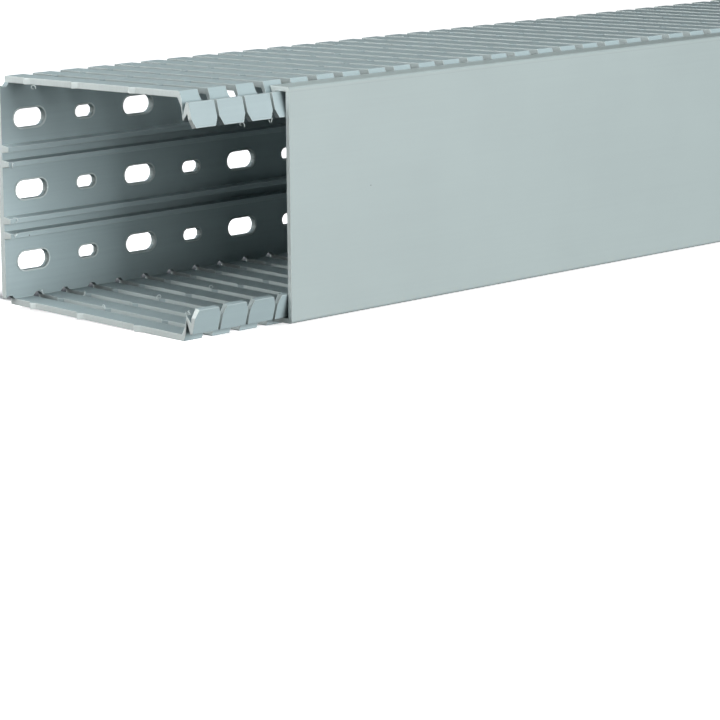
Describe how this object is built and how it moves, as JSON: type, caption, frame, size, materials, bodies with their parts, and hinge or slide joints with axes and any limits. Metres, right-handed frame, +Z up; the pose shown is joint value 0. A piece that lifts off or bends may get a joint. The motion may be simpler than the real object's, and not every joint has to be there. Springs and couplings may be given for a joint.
{
  "type": "slotted wire duct",
  "caption": "Slotted wiring duct with finger walls, a perforated ribbed base and a clip-on cover, shown slid back from one end.",
  "frame": {"origin": "floor level, midway along the overall length and midway between base and cover", "axes": "+X along the duct, +Y out of the back of the base plate, so the cover faces -Y, +Z up from the side wall that it lies on"},
  "size_m": [0.5436, 0.1, 0.083],
  "materials": {
    "trough_pvc": "semi-matte rigid PVC, light stone grey",
    "cover_pvc": "semi-matte rigid PVC, light stone grey"
  },
  "bodies": {
    "trough": {"trough": "trough_pvc"},
    "cover": {"cover": "cover_pvc"}
  },
  "joints": [
    {"name": "cover_slide", "type": "slide", "parent": "trough", "child": "cover", "axis": [1, 0, 0], "range_m": [-0.0437, 0.2]}
  ]
}
